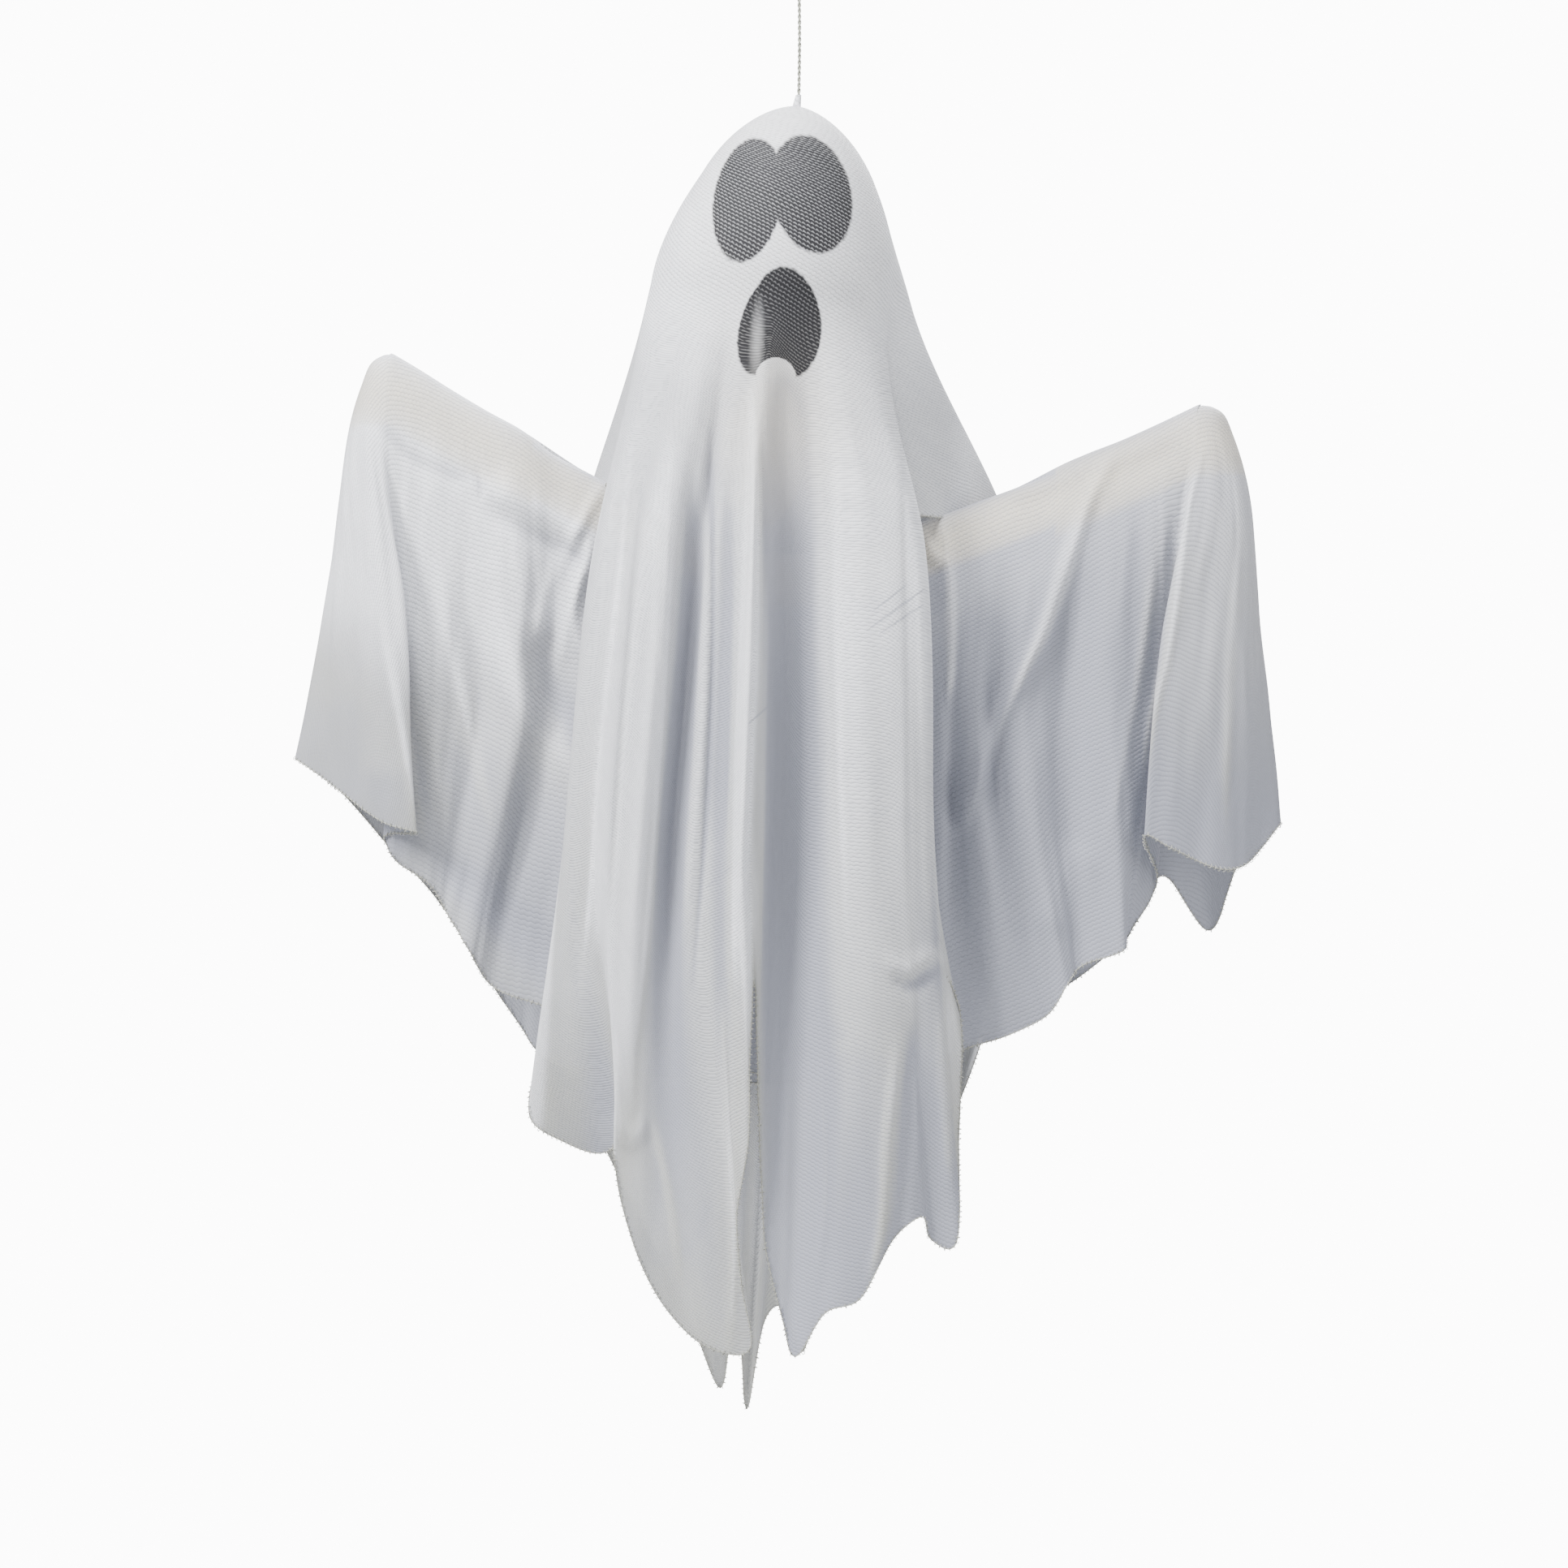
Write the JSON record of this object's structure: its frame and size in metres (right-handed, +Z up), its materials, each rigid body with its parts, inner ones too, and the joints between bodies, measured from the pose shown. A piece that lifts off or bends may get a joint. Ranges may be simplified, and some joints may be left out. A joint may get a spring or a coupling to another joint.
{
  "type": "hanging ghost decoration",
  "caption": "Hanging ghost of sheer white knit: a cloth over a foam head with a printed face, and a second cloth over two raised arms, on a string.",
  "frame": {"origin": "the point where the string's loop hangs on a hook", "axes": "+Z up, the face looks along -Y, +X to the right of someone who looks at the face"},
  "size_m": [0.3863, 0.1129, 0.5884],
  "materials": {
    "head_cloth": "sheer knit",
    "arm_cloth": "sheer knit",
    "foam": "foam",
    "wire": "drawn wire",
    "string": "twisted cord",
    "print": "matte ink on knit"
  },
  "bodies": {
    "root": {"shroud": "head_cloth", "arm_cloth": "arm_cloth", "head_form": "foam", "torso_pad": "foam", "left_forearm_pad": "foam", "left_upper_arm_pad": "foam", "right_forearm_pad": "foam", "right_upper_arm_pad": "foam", "stem_wire": "wire", "arm_wire": "wire", "hanging_string": "string", "hang_loop": "string", "left_eye_print": "print", "right_eye_print": "print", "mouth_print": "print"}
  },
  "joints": []
}
